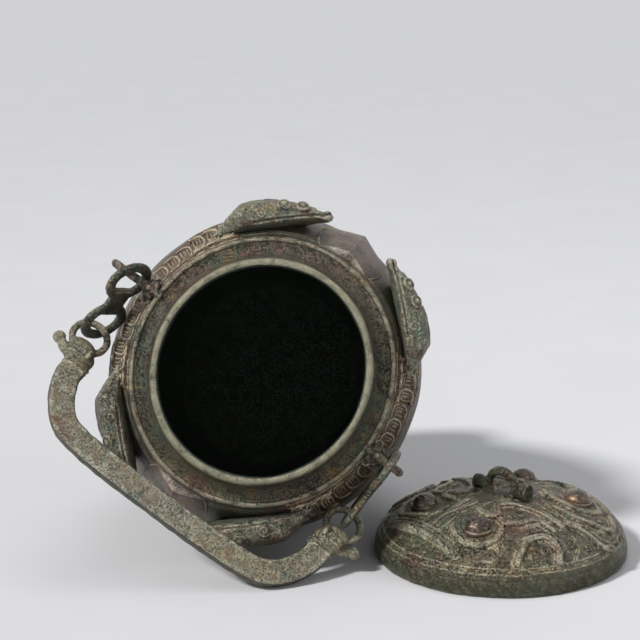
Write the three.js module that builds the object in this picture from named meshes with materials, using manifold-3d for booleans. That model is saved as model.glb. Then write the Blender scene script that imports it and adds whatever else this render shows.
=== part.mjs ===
// A cast bronze wine vessel with a swing handle, lying on its side with its lid beside it.
// Lengths are millimetres and angles are degrees. +Z is up and the floor is z = 0.
// The vessel, the bail and the lid are each drawn in a frame of their own and then laid down.
import * as THREE from "three";
import { mergeVertices } from "three/addons/utils/BufferGeometryUtils.js";
import Module from "manifold-3d";

const wasm = await Module();
wasm.setup();

// Vessel, drawn standing: radii are half lengths of the oval, from ridge to ridge
const ovality = 0.95; // width across the ears over length from ridge to ridge
const wall = 3.4;
const baseWall = 4.5; // of the belly near the foot
const footHeight = 24;
const lowerBelly = 106; // from the foot up to the widest oval
const upperBelly = 83; // from the widest oval up to the shelf that the lid sits on
const bellyBend = 0.32; // share of the lower belly, down from the widest oval, that its curve is drawn towards
const neckHeight = 17;
const footRadius = 84;
const footTopRadius = 77;
const footWall = 6;
const bellyRadius = 120;
const shelfRadius = 95.5;
const neckRadius = 86.5; // at the root of the neck
const waistRadius = 77;
const lipRadius = 79.7;
const lipDepth = 6;
const mouthRadius = 73.7;
const floorThickness = 7;
const sides = 36; // flats round the oval, one of which the vessel lies on
const restFlat = 5.5; // that flat, counted from the right ear towards the lower ridge

// Ears, links and bail
const fit = 0.3; // gap left between cast pieces that touch
const earWire = 3;
const earDrop = 2; // the ear's upper leg lies this far under the shelf
const earHeight = 24;
const earBend = 5;
const linkInset = 3; // the links' planes lie this far inside the widest oval
const linkShift = 1.5; // the links and the bail have slid this far towards the left ear
const linkPitch = 48.5; // from the ear's leg to the wire of the bail's ring
const ringHole = 9;
const ringWire = 2.6;
const ringPlay = 0.6; // between a ring and what it hangs on
const eyeSpread = 1.2; // a link's eyes are wider than long
const bailRingSpread = 1.2;
const linkWaist = 11;
const linkTwist = 28; // of the left link about its length, and none of the right one
const linkAngle = 117; // of the links at rest, from the mouth's direction towards the lower ridge
const barWidth = 18.5;
const barThickness = 9;
const bailDepth = 67; // from the rings' centres to the middle of the crossbar
const headLength = 13.2; // of the animals' heads, from the wire of their rings to the ends of the bar
const bailInset = 5; // the bar's ends lie this far inside the links' planes
const bailClearance = 2; // least height of the crossbar over the shelf
const skullHalfWidth = 12;
const skullHalfLength = 8;
const hornRadius = 5;
const hornReach = 17; // out from the rings' centres
const bossRadius = 4; // of the bosses at the ears' roots

// Snakes and ridges on the shoulder, placed by angles in degrees from a ridge towards an ear
const reliefHeight = 2.5;
const snakeInner = 0.05; // share of the way from the shelf to the widest oval
const snakeOuter = 0.45;
const snakeFrom = 66;
const snakeTo = 49;
const headFrom = 49;
const headTo = 12;
const headRise = 4.5;
const headDepth = 40;
const headWall = 3.5;
const jawInset = 6;
const eyeRadius = 4.5;
const ridgeRise = 3.5;
const ridgeHalfWidth = 21;
const ridgeEnd = 0.9;

// Lid, which fits over the neck
const lidPlay = 1.5;
const lidWall = 4;
const lidRim = 12; // height of the plain band round the lid
const lidHeight = 43;
const lidFullness = 2.6; // from 1, a cone, to 4, nearly flat on top
const lidSwell = 1;
const maskEyeSide = 29;
const maskEyeFront = 47;
const maskEyeRadius = 9.3;
const maskEyeRise = 6;
const jawSetBack = 20; // of the straight jaw of each mask from the lid's edge
const jawHalfLength = 42;
const jawWidth = 5;
const knobRadius = 11.5;
const knobWire = 3.2;
const knobRise = 5.5; // of the middle of the loop's arch over the lid
const knobTurn = 14;
const studRadius = 6.5;
const studLength = 10;
const studReach = 18.5; // from the lid's middle to the middle of each stud

// How the lid lies beside the vessel
const lidTurn = -55;
const lidGap = 78.7; // from the mouth's middle to the lid's near edge
const lidBehind = 35.4; // from the mouth's middle to the lid's middle

const radians = THREE.MathUtils.degToRad;
const bellyZ = footHeight + lowerBelly;
const shelfZ = bellyZ + upperBelly;
const vesselHeight = shelfZ + neckHeight;
const linkPlane = bellyRadius * ovality - linkInset;
const ringRadius = ringHole + ringWire;
const lidInner = neckRadius + lidPlay;
const lidRadius = lidInner + lidWall;
const jawReach = lidRadius - jawSetBack;
const neckDepth = ringRadius + headLength;

// A closed geometry as a solid that can be joined and cut
function solid(geometry) {
  const bare = geometry.clone();
  bare.deleteAttribute("normal");
  bare.deleteAttribute("uv");
  const merged = mergeVertices(bare, 1e-4);
  const vertProperties = merged.attributes.position.array;
  const triVerts = new Uint32Array(merged.index.array);
  return new wasm.Manifold(new wasm.Mesh({ numProp: 3, vertProperties, triVerts }));
}

function geometryOf(shape) {
  const { vertProperties, triVerts } = shape.getMesh();
  const position = new THREE.BufferAttribute(vertProperties, 3);
  return new THREE.BufferGeometry().setAttribute("position", position).setIndex([...triVerts]);
}

function join(...geometries) {
  return geometryOf(geometries.map(solid).reduce((whole, piece) => whole.add(piece)));
}

function carve(geometry, cutter) {
  return geometryOf(solid(geometry).subtract(solid(cutter)));
}

// A profile of [radius, height] turned about the vertical axis and narrowed to the oval
function turned(profile) {
  const points = profile.map(([radius, height]) => new THREE.Vector2(radius, height));
  return new THREE.LatheGeometry(points, sides).rotateX(Math.PI / 2).scale(ovality, 1, 1);
}

// How far the lid's curve has risen, as a share, at a share of its radius
function crown(share) {
  return (1 - share ** lidFullness) ** 0.75;
}

// The lid's curve from its side to its top or the other way round
function dome(height, across, up, steps, downwards = false) {
  const arc = Array.from({ length: steps + 1 }, (_, i) => {
    const share = Math.cos((i / steps) * (Math.PI / 2));
    return [across * share, height + up * crown(share)];
  });
  return downwards ? arc.reverse() : arc;
}

// A soft curve from one [radius, height] to another, drawn towards a third
function bend(start, control, end, steps) {
  const [from, by, to] = [start, control, end].map(([x, y]) => new THREE.Vector2(x, y));
  return new THREE.QuadraticBezierCurve(from, by, to).getPoints(steps).map(({ x, y }) => [x, y]);
}

// Rings of points, all of one length, skinned one after another and closed at both ends
function loft(rings) {
  const count = rings[0].length;
  const corners = rings.flat().concat([rings[0], rings.at(-1)].map(middle));
  const last = (rings.length - 1) * count;
  const triangles = [];
  for (let i = 0; i < count; i++) {
    const j = (i + 1) % count;
    for (let k = 0; k < last; k += count)
      triangles.push(k + i, k + j, k + count + j, k + i, k + count + j, k + count + i);
    triangles.push(corners.length - 2, j, i, corners.length - 1, last + i, last + j);
  }
  return new THREE.BufferGeometry().setFromPoints(corners).setIndex(triangles);
}

function middle(ring) {
  return ring.reduce((sum, p) => sum.add(p), new THREE.Vector3()).divideScalar(ring.length);
}

// A point at a turn round the oval, from the upper ridge towards the right ear
function onOval(angle, radius, height) {
  const turn = radians(angle);
  return new THREE.Vector3(ovality * radius * Math.sin(turn), radius * Math.cos(turn), height);
}

// Outside of the belly from the foot to the shelf, made larger all over for cutting what lies on it
function bellyProfile(grown = 0) {
  const widest = bellyRadius + grown;
  const foot = [footTopRadius + grown, footHeight];
  const shelf = [shelfRadius + grown, shelfZ + grown];
  return [
    ...bend(foot, [widest, bellyZ - lowerBelly * bellyBend], [widest, bellyZ], 8),
    ...bend([widest, bellyZ], [widest, bellyZ + upperBelly / 2], shelf, 8).slice(1),
  ];
}

function neckProfile(grown = 0) {
  const root = [neckRadius + grown, shelfZ + grown];
  const top = [lipRadius + grown, vesselHeight - lipDepth];
  return bend(root, [waistRadius + grown, shelfZ + neckHeight / 4], top, 4);
}

// Radius and height on the shoulder, from the shelf at 0 to the widest oval at 1, lifted off the surface
function shoulder(share, lift = 0) {
  const drop = bellyRadius - shelfRadius;
  const slope = (2 * drop * (1 - share)) / upperBelly;
  const outwards = lift / Math.hypot(1, slope);
  const radius = bellyRadius - drop * (1 - share) ** 2;
  return [radius + outwards, shelfZ - share * upperBelly + slope * outwards];
}

function vesselBody() {
  const lipZ = vesselHeight - lipDepth;
  const innerShelf = shelfZ - wall;
  const innerNeck = neckRadius - wall;
  const widest = bellyRadius - wall;
  const innerFoot = footTopRadius - baseWall;
  const floorZ = footHeight + floorThickness;
  const throat = [waistRadius - wall, shelfZ + neckHeight / 4];
  return turned([
    [0, footHeight],
    ...bellyProfile(),
    ...neckProfile(),
    [lipRadius, vesselHeight],
    [mouthRadius, vesselHeight],
    ...bend([mouthRadius, lipZ], throat, [innerNeck, innerShelf], 4),
    ...bend([innerNeck, innerShelf], [widest, bellyZ + upperBelly / 2], [widest, bellyZ], 6).slice(1),
    ...bend([widest, bellyZ], [widest, bellyZ - lowerBelly * bellyBend], [innerFoot, floorZ], 6).slice(1),
    [0, floorZ],
  ]);
}

// The solid that every piece on the shoulder is cut back from
function bodyCutter() {
  return turned([[0, footHeight], ...bellyProfile(fit), ...neckProfile(fit), [0, vesselHeight]]);
}

function footRing() {
  const top = footHeight - fit;
  return turned([
    [footRadius, 0],
    [footTopRadius, top],
    [footTopRadius - footWall, top],
    [footRadius - footWall, 0],
    [footRadius, 0],
  ]);
}

// A D-shaped eye whose legs run out past the link, with a boss on each side of its root
function ear(cutter, twist, shift) {
  const top = shelfZ - earDrop;
  const foot = top - earHeight;
  const swept = ringRadius * eyeSpread * Math.sin(radians(twist));
  const reach = linkPlane + shift + swept + ringWire + ringPlay + earWire + earBend / 2;
  const inside = ovality * (shelfRadius - wall);
  const route = new THREE.CurvePath();
  const at = (x, z) => new THREE.Vector3(x, 0, z);
  route.add(new THREE.LineCurve3(at(inside, top), at(reach - earBend, top)));
  route.add(new THREE.QuadraticBezierCurve3(at(reach - earBend, top), at(reach, top), at(reach, top - earBend)));
  route.add(new THREE.LineCurve3(at(reach, top - earBend), at(reach, foot + earBend)));
  route.add(new THREE.QuadraticBezierCurve3(at(reach, foot + earBend), at(reach, foot), at(reach - earBend, foot)));
  route.add(new THREE.LineCurve3(at(reach - earBend, foot), at(inside, foot)));
  const section = new THREE.Shape().absarc(0, 0, earWire, 0, 2 * Math.PI);
  const loop = new THREE.ExtrudeGeometry(section, { steps: 36, curveSegments: 4, extrudePath: route });
  const bosses = [-1, 1].map((side) =>
    new THREE.SphereGeometry(bossRadius, 10, 6).translate(inside + 2 * bossRadius, side * earWire, top - 1),
  );
  return carve(join(loop, ...bosses), cutter);
}

// A snake's body on the shoulder, from the ear towards the ridge
function snake(cutter) {
  const shares = [0, 1, 2, 3, 4].map((i) => snakeInner + ((snakeOuter - snakeInner) * i) / 4);
  const rings = [];
  for (let step = 0; step <= 6; step++) {
    const angle = snakeFrom + ((snakeTo - snakeFrom) * step) / 6;
    const outside = shares.map((share) => onOval(angle, ...shoulder(share, reliefHeight)));
    const inside = shares.map((share) => onOval(angle, ...shoulder(share, -wall / 2)));
    rings.push([...outside, ...inside.reverse()]);
  }
  return carve(loft(rings), cutter);
}

// A snake's head in profile from the mouth: a crown outside and a straight jaw inside
function headOutline(inset) {
  const outline = new THREE.Shape();
  const [from, to] = [headFrom - inset / 2, headTo + inset / 2];
  const chin = onOval(from - 4, shelfRadius + jawInset + inset, 0);
  outline.moveTo(chin.x, chin.y);
  const steps = 8;
  for (let step = 0; step <= steps; step++) {
    const share = step / steps;
    const rise = headRise * Math.sin(Math.PI * (0.15 + 0.85 * share)) - 2;
    const { x, y } = onOval(from + (to - from) * share, bellyRadius + rise - inset, 0);
    outline.lineTo(x, y);
  }
  return outline;
}

// A snake's head with two eyes, hollow towards the shoulder that it is cast on
function snakeHead(cutter) {
  const bevel = 2;
  const options = { depth: headDepth - 2 * bevel, bevelSize: bevel, bevelThickness: bevel, bevelSegments: 2 };
  const head = new THREE.ExtrudeGeometry(headOutline(0), { ...options, bevelOffset: -bevel });
  head.translate(0, 0, shelfZ - headDepth + bevel);
  const hollow = new THREE.ExtrudeGeometry(headOutline(headWall), { depth: headDepth, bevelEnabled: false });
  hollow.translate(0, 0, shelfZ - headDepth - headWall);
  const eyes = [0.42, 0.62].map((share, i) => {
    const angle = headFrom + (headTo - headFrom) * share;
    const { x, y, z } = onOval(angle, bellyRadius + headRise - eyeRadius, shelfZ - headDepth * (0.35 + 0.3 * i));
    return new THREE.SphereGeometry(eyeRadius, 12, 8).translate(x, y, z);
  });
  return carve(carve(join(head, ...eyes), cutter), hollow);
}

// The spine between two snakes' heads, a low roof that runs over the shoulder and down the belly
function ridge(cutter) {
  const steps = 9;
  const rings = [];
  for (let step = 0; step <= steps; step++) {
    const share = (ridgeEnd * step) / steps;
    const swell = Math.sin(Math.PI * (0.1 + (0.85 * step) / steps));
    const half = ridgeHalfWidth * swell;
    const at = (x, lift) => new THREE.Vector3(x, ...shoulder(share, lift));
    rings.push([at(0, -2 * wall), at(-half, -1.25 * wall), at(0, ridgeRise * (0.5 + swell / 2)), at(half, -1.25 * wall)]);
  }
  return carve(loft(rings), cutter);
}

// A ring whose hole faces along X and which reaches from its centre along Z
function ring(spread = 1) {
  return new THREE.TorusGeometry(ringRadius, ringWire, 8, 20).rotateY(Math.PI / 2).scale(1, spread, 1);
}

// Two eyes and a waist, drawn up from the ear's leg at the origin, with both eyes facing along X
function link() {
  const inset = ringRadius - earWire - ringWire - ringPlay;
  const far = ringRadius - 2 * ringWire - ringPlay;
  const span = linkPitch - inset - far;
  const waist = new THREE.BoxGeometry(2 * ringWire, linkWaist, span - 2 * ringRadius + ringWire);
  const lower = ring(eyeSpread).translate(0, 0, inset);
  const upper = ring(eyeSpread).translate(0, 0, inset + span);
  return join(lower, upper, waist.translate(0, 0, inset + span / 2));
}

// Middle line of the bail's bar: a wide U with soft corners, from the left end to the right one
function bailLine() {
  const top = neckDepth + fit;
  const corner = [
    [0, top],
    [0, top + 6],
    [2, top + 14],
    [9, bailDepth - 15],
    [20, bailDepth - 4.5],
    [36, bailDepth],
  ];
  const left = corner.map(([inward, depth]) => new THREE.Vector3(bailInset + inward - linkPlane, 0, depth));
  const right = left.map(({ x, z }) => new THREE.Vector3(-x, 0, z)).reverse();
  return new THREE.CatmullRomCurve3([...left, ...right]);
}

function bailBar() {
  const line = bailLine();
  const steps = 44;
  const edge = (side) =>
    Array.from({ length: steps + 1 }, (_, i) => {
      const { x, z } = line.getPointAt(i / steps);
      const along = line.getTangentAt(i / steps);
      return new THREE.Vector2(x + (side * along.z * barWidth) / 2, z - (side * along.x * barWidth) / 2);
    });
  const outline = new THREE.Shape([...edge(1), ...edge(-1).reverse()]);
  const bevel = 2;
  const depth = barThickness - 2 * bevel;
  const options = { depth, bevelSize: bevel, bevelThickness: bevel, bevelSegments: 2, bevelOffset: -bevel };
  const bar = new THREE.ExtrudeGeometry(outline, options);
  return bar.translate(0, 0, -depth / 2).rotateX(Math.PI / 2).translate(0, 0, ringRadius);
}

// The animal's head at the right end of the bail: its ring, its skull, a horn on a stem and its neck
function bailHead() {
  const loop = ring(bailRingSpread).rotateZ(Math.PI / 2);
  const skull = new THREE.SphereGeometry(1, 14, 10).scale(skullHalfWidth, barThickness, skullHalfLength);
  skull.translate(-bailInset / 2, 0, neckDepth - skullHalfLength - 0.7);
  const horn = new THREE.SphereGeometry(hornRadius, 10, 8).translate(hornReach, 0, ringRadius + 1.2);
  const stem = new THREE.BoxGeometry(hornReach - hornRadius, 1.2 * hornRadius, 1.4 * hornRadius);
  stem.translate((hornReach + hornRadius) / 2, 0, ringRadius + 3.2);
  const neck = new THREE.BoxGeometry(barWidth, barThickness, headLength - 3).translate(-bailInset, 0, neckDepth);
  neck.translate(0, 0, (3 - headLength) / 2);
  return join(loop, skull, horn, stem, neck).translate(linkPlane, 0, ringRadius);
}

function lidProfile(grown = 0) {
  const rise = lidHeight - lidRim;
  return [
    [lidRadius + grown, 0],
    [lidRadius + lidSwell + grown, lidRim / 2],
    ...dome(lidRim, lidRadius + grown, rise + grown, 12),
  ];
}

function lidShell() {
  const inside = dome(lidRim - lidWall, lidInner, lidHeight - lidRim, 9, true);
  return turned([...lidProfile(), ...inside, [lidInner, 0], [lidRadius, 0]]);
}

function lidCutter() {
  return turned([[0, -lidRim], [lidRadius, -lidRim], ...lidProfile(fit)]);
}

// Height of the lid's outside at a place on it
function domeAt(x, y) {
  const share = Math.hypot(x / (lidRadius * ovality), y / lidRadius);
  return lidRim + (lidHeight - lidRim) * crown(Math.min(1, share));
}

function maskEye(cutter, side, front) {
  const [x, y] = [side * maskEyeSide, front * maskEyeFront];
  const eye = new THREE.SphereGeometry(1, 16, 10).scale(maskEyeRadius, maskEyeRadius, maskEyeRise);
  return carve(eye.translate(x, y, domeAt(x, y) + fit), cutter);
}

function maskJaw(cutter, front) {
  const steps = 8;
  const rings = [];
  for (let step = 0; step <= steps; step++) {
    const x = jawHalfLength * ((2 * step) / steps - 1) * ovality;
    const lift = reliefHeight * (1 - 0.5 * Math.abs((2 * step) / steps - 1));
    const [near, far] = [jawReach - jawWidth, jawReach + jawWidth / 2];
    const [inner, top] = [domeAt(x, near) + lift / 2, domeAt(x, jawReach) + lift];
    const at = (y, z) => new THREE.Vector3(x, y, z);
    const foot = domeAt(x, far) - 2 * reliefHeight;
    rings.push([at(near, foot), at(far, foot), at(far, top - 2), at(jawReach, top), at(near, inner)]);
  }
  const jaw = carve(loft(rings), cutter);
  return front > 0 ? jaw : jaw.rotateZ(Math.PI);
}

// A half-round loop over the lid's middle, with a short stud out of each foot
function knob(cutter) {
  const arch = new THREE.TorusGeometry(knobRadius, knobWire, 8, 24).rotateX(Math.PI / 2);
  arch.translate(0, 0, lidHeight + knobRise);
  const studs = [-1, 1].map((side) => {
    const stud = new THREE.CylinderGeometry(studRadius - 1.5, studRadius, studLength, 16).rotateZ((-side * Math.PI) / 2);
    return stud.translate(side * studReach, 0, lidHeight + knobRise);
  });
  return carve(join(arch, ...studs).rotateZ(radians(knobTurn)), cutter);
}

const bronze = new THREE.MeshStandardMaterial({ color: 0x4a4a3a, roughness: 0.62, metalness: 0.55 });
const paleBronze = new THREE.MeshStandardMaterial({ color: 0x8f8a74, roughness: 0.66, metalness: 0.4 });
const redBronze = new THREE.MeshStandardMaterial({ color: 0x6a4a3c, roughness: 0.7, metalness: 0.35 });
const lidBronze = new THREE.MeshStandardMaterial({ color: 0x5b5a4a, roughness: 0.66, metalness: 0.45 });

function piece(name, geometry, finish) {
  const mesh = new THREE.Mesh(geometry, finish.clone());
  mesh.name = name;
  return mesh;
}

// The pieces cast on the shoulder, each shape turned by mirroring to its place
function shoulderPieces() {
  const cutter = bodyCutter();
  const [snakeShape, headShape, ridgeShape] = [snake(cutter), snakeHead(cutter), ridge(cutter)];
  const pieces = [
    piece("ear_right", ear(cutter, 0, -linkShift), bronze),
    piece("ear_left", ear(cutter, linkTwist, linkShift), bronze),
    piece("ridge_upper", ridgeShape, redBronze),
    piece("ridge_lower", ridgeShape, redBronze),
  ];
  pieces[1].rotation.z = Math.PI;
  pieces[3].rotation.z = Math.PI;
  const places = [[-1, 1], [1, 1], [-1, -1], [1, -1]];
  places.forEach(([across, along], i) => {
    const body = piece(`snake_${i + 1}`, snakeShape, redBronze);
    const head = piece(`snake_head_${i + 1}`, headShape, bronze);
    [body, head].forEach((part) => part.scale.set(across, along, 1));
    pieces.push(body, head);
  });
  return pieces;
}

function linkAt(name, side, twist) {
  const hanger = new THREE.Group();
  hanger.position.set(side * linkPlane - linkShift, 0, shelfZ - earDrop);
  hanger.rotation.x = radians(linkAngle);
  const body = piece(name, link(), bronze);
  body.rotation.z = radians(twist);
  return hanger.add(body);
}

// The bail hangs on the far ends of the links; its own frame has its rings' wire on the X axis
function bail() {
  const group = new THREE.Group();
  const swing = radians(linkAngle);
  group.position.set(-linkShift, -linkPitch * Math.sin(swing), shelfZ - earDrop + linkPitch * Math.cos(swing));
  const right = piece("bail_head_right", bailHead(), paleBronze);
  const left = piece("bail_head_left", bailHead(), paleBronze);
  left.scale.x = -1;
  return group.add(piece("bail_bar", bailBar(), paleBronze), right, left);
}

function lid() {
  const cutter = lidCutter();
  const group = new THREE.Group();
  group.add(piece("lid_shell", lidShell(), lidBronze), piece("lid_knob", knob(cutter), bronze));
  const places = [[-1, 1], [1, 1], [-1, -1], [1, -1]];
  places.forEach(([side, front], i) =>
    group.add(piece(`lid_eye_${i + 1}`, maskEye(cutter, side, front), redBronze)),
  );
  group.add(piece("lid_jaw_1", maskJaw(cutter, 1), lidBronze), piece("lid_jaw_2", maskJaw(cutter, -1), lidBronze));
  return group;
}

function lowest(object) {
  object.parent?.updateWorldMatrix(true, false);
  object.updateMatrixWorld(true);
  return new THREE.Box3().setFromObject(object, true).min.z;
}

// Which way the flat that the vessel lies on faces, turned from the right ear to the lower ridge
function restNormal() {
  const turn = radians(restFlat * (360 / sides));
  return Math.atan2(Math.sin(turn), Math.cos(turn) / ovality);
}

// The lean at which the belly's flat and the foot's flat both touch the floor
function restLean() {
  const turn = radians(restFlat * (360 / sides));
  const normal = restNormal();
  const half = Math.PI / sides;
  const reach = (radius) =>
    radius * (ovality * Math.cos(turn - half) * Math.cos(normal) + Math.sin(turn - half) * Math.sin(normal));
  const slopes = bellyProfile().map(([radius, z]) => Math.atan2(reach(radius) - reach(footRadius), z));
  return Math.max(...slopes);
}

function vessel() {
  const group = new THREE.Group();
  group.add(piece("vessel_body", vesselBody(), bronze), piece("foot_ring", footRing(), bronze));
  group.add(...shoulderPieces());
  group.rotation.set(Math.PI / 2 - restLean(), 0, restNormal() - Math.PI / 2);
  group.position.z = -lowest(group);
  return group;
}

// How far the crossbar's underside stands over the shelf when the bail is at an angle
function overShelf(swinging, angle) {
  const inner = ringRadius + bailDepth - barWidth / 2;
  const under = inner * Math.cos(angle) - (barThickness / 2) * Math.sin(angle);
  return swinging.position.z + under - shelfZ;
}

// Turns the bail down from the mouth's direction until its crossbar meets the floor or the snakes' heads
function layDown(swinging) {
  let [clear, sunk] = [45, 105];
  for (let i = 0; i < 24; i++) {
    const angle = (clear + sunk) / 2;
    swinging.rotation.x = radians(angle);
    if (lowest(swinging) > 0 && overShelf(swinging, radians(angle)) > bailClearance) clear = angle;
    else sunk = angle;
  }
  swinging.rotation.x = radians(clear);
}

const part = new THREE.Group();
const standing = vessel();
const swinging = bail();
part.add(standing);
standing.add(linkAt("link_right", 1, 0), linkAt("link_left", -1, linkTwist), swinging);
layDown(swinging);

const mouth = new THREE.Vector3(0, 0, vesselHeight).applyEuler(standing.rotation);
const cover = lid();
cover.rotation.z = radians(lidTurn);
cover.position.set(mouth.x + lidGap + lidRadius, mouth.y + lidBehind, 0);
part.add(cover);

const box = new THREE.Box3().setFromObject(part, true);
const centre = box.getCenter(new THREE.Vector3());
part.children.forEach((child) => child.position.sub(new THREE.Vector3(centre.x, centre.y, 0)));

export default part;
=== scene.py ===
import bmesh
import bpy
import numpy as np
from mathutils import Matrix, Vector


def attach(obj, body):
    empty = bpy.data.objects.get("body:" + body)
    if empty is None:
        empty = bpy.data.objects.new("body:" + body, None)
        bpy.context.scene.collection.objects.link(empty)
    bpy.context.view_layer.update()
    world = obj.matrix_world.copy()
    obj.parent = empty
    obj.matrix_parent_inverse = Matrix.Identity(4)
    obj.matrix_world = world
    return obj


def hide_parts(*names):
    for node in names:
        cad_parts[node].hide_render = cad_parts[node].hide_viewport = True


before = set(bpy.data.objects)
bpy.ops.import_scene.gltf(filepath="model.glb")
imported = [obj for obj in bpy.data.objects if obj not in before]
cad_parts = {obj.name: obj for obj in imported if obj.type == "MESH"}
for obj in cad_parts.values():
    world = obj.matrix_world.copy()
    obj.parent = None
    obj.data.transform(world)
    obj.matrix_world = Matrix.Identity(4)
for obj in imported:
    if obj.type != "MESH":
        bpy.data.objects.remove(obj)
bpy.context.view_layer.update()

# Vessel wall: the hollow, bellied body of the wine vessel, of leaded bronze under a dark green and brown patina.
# It was cast in one pour in clay piece moulds round a core, with its neck and its pale, worn lip.
# Lengths are millimetres until a mesh is placed, and each piece is drawn in the frame that it hangs or lies in.
ovality = 0.95
faceting = 0.9962  # the round wall reaches as far as the flats of the solid that it stands for
shelf_height = 213.0
widest_height = 130.0
widest_radius = 120.0
shelf_radius = 95.5
shoulder_height = shelf_height - widest_height
shoulder_spread = widest_radius - shelf_radius


def turn_about(axis, degrees):
    c, s = np.cos(np.radians(degrees)), np.sin(np.radians(degrees))
    turns = {"x": [[1, 0, 0], [0, c, -s], [0, s, c]], "z": [[c, -s, 0], [s, c, 0], [0, 0, 1]]}
    return np.array(turns[axis])


def hung(parent, place, turn):
    """A frame at a place and turn in another one."""
    return parent[0] @ turn, parent[0] @ np.array(place) + parent[1]


lying = (turn_about("x", 73.53183) @ turn_about("z", -36.39246), np.array([-57.0266, 125.7909, 78.8584]))


def bezier(start, by, end, count):
    t = np.linspace(0, 1, count)[:, None]
    return (1 - t) ** 2 * np.array(start) + 2 * t * (1 - t) * np.array(by) + t**2 * np.array(end)


def spaced(corners, count):
    """Points at even steps along a line of corners."""
    corners = np.asarray(corners, float)
    steps = np.linalg.norm(np.diff(corners, axis=0), axis=1)
    run = np.concatenate([[0], np.cumsum(steps)])
    at = np.linspace(0, run[-1], count)
    return np.stack([np.interp(at, run, corners[:, k]) for k in range(corners.shape[1])], 1)


def ripples(points, size, seed):
    """Soft unevenness of about -1 to 1 over points, in waves of about a size."""
    draw = np.random.default_rng(seed)
    total = np.zeros(len(points))
    for _ in range(16):
        way = draw.normal(size=3)
        way *= 2 * np.pi * draw.uniform(0.6, 1.7) / size / np.linalg.norm(way)
        total += np.sin(points @ way + draw.uniform(0, 6.3))
    return total / 4


def neighbour_mean(values, edges, count):
    """The mean of each point's value and its neighbours' values."""
    ends = np.concatenate([edges[:, 0], edges[:, 1], np.arange(count)])
    others = np.concatenate([edges[:, 1], edges[:, 0], np.arange(count)])
    weight = np.bincount(ends, minlength=count)
    means = [np.bincount(ends, values[others, k], count) / weight for k in range(values.shape[1])]
    return np.stack(means, 1)


def read(mesh):
    """Points, edges and normals of a mesh."""
    points = np.empty(len(mesh.vertices) * 3, np.float32)
    mesh.vertices.foreach_get("co", points)
    edges = np.empty(len(mesh.edges) * 2, np.int32)
    mesh.edges.foreach_get("vertices", edges)
    normals = np.empty(len(mesh.vertices) * 3, np.float32)
    mesh.vertex_normals.foreach_get("vector", normals)
    return points.reshape(-1, 3).astype(float), edges.reshape(-1, 2), normals.reshape(-1, 3).astype(float)


def write(mesh, points):
    mesh.vertices.foreach_set("co", points.astype(np.float32).ravel())
    mesh.update()


def mark(mesh, name, values):
    """Keeps a number for each point, which the finish reads."""
    attribute = mesh.attributes.new(name, "FLOAT", "POINT")
    attribute.data.foreach_set("value", np.asarray(values, np.float32))


def closed(mesh):
    """Merges a mesh's doubles and turns its faces outwards."""
    work = bmesh.new()
    work.from_mesh(mesh)
    bmesh.ops.remove_doubles(work, verts=work.verts, dist=0.001)
    bmesh.ops.recalc_face_normals(work, faces=work.faces)
    work.to_mesh(mesh)
    work.free()
    return mesh


def mesh_of(points, faces):
    mesh = bpy.data.meshes.new("work")
    mesh.from_pydata(np.asarray(points, float).tolist(), [], faces)
    return mesh


def evaluated(mesh, change):
    """The plain mesh that a modifier leaves on a working object."""
    work = bpy.data.objects.new("work", mesh)
    bpy.context.scene.collection.objects.link(work)
    change(work)
    bpy.context.view_layer.update()
    result = bpy.data.meshes.new_from_object(work.evaluated_get(bpy.context.evaluated_depsgraph_get()))
    work.modifiers.clear()
    bpy.data.objects.remove(work)
    return result


def placed(mesh, name, where, body, slot, finish, *nodes):
    """Measures a mesh's crests and hollows, lays it in its frame and makes it a piece that rides on its body."""
    points, edges, normals = read(mesh)
    even = points
    for _ in range(5):
        even = neighbour_mean(even, edges, len(points))
    mark(mesh, "crest", np.clip(np.sum((points - even) * normals, 1) / 0.22, -1, 1))
    write(mesh, (points @ where[0].T + where[1]) / 1000)
    mesh.materials.clear()
    mesh.materials.append(finish)
    mesh.polygons.foreach_set("material_index", np.zeros(len(mesh.polygons), np.int32))
    mesh.polygons.foreach_set("use_smooth", np.ones(len(mesh.polygons), bool))
    mesh.name = name
    piece = bpy.data.objects.new(name, mesh)
    bpy.context.scene.collection.objects.link(piece)
    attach(piece, body)
    if nodes:
        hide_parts(*nodes)
    return piece


class Value:
    """A number that varies over a surface or a mesh: arithmetic on it adds Math nodes."""

    def __init__(self, socket):
        self.socket = socket

    def maths(self, operation, *values):
        tree = self.socket.id_data
        return Value(node(tree, "ShaderNodeMath", {"operation": operation}, dict(enumerate(values))).outputs[0])

    def __add__(self, other):
        return self.maths("ADD", self, other)

    def __sub__(self, other):
        return self.maths("SUBTRACT", self, other)

    def __rsub__(self, other):
        return self.maths("SUBTRACT", other, self)

    def __mul__(self, other):
        return self.maths("MULTIPLY", self, other)

    def __truediv__(self, other):
        return self.maths("DIVIDE", self, other)

    __radd__, __rmul__ = __add__, __mul__

    def between(self, low, high):
        """From 0 at the low value to 1 at the high one, softly."""
        values = {"Value": self, "From Min": low, "From Max": high}
        ramp = node(self.socket.id_data, "ShaderNodeMapRange", {"interpolation_type": "SMOOTHSTEP"}, values)
        return Value(ramp.outputs["Result"])


def node(tree, kind, settings=None, values=None):
    """Adds a node with its settings, then the values or links of its sockets."""
    made = tree.nodes.new(kind)
    for name, setting in (settings or {}).items():
        setattr(made, name, setting)
    for key, value in (values or {}).items():
        source = value.socket if isinstance(value, Value) else value
        if isinstance(source, bpy.types.NodeSocket):
            tree.links.new(source, made.inputs[key])
        else:
            made.inputs[key].default_value = source
    return made


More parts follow.
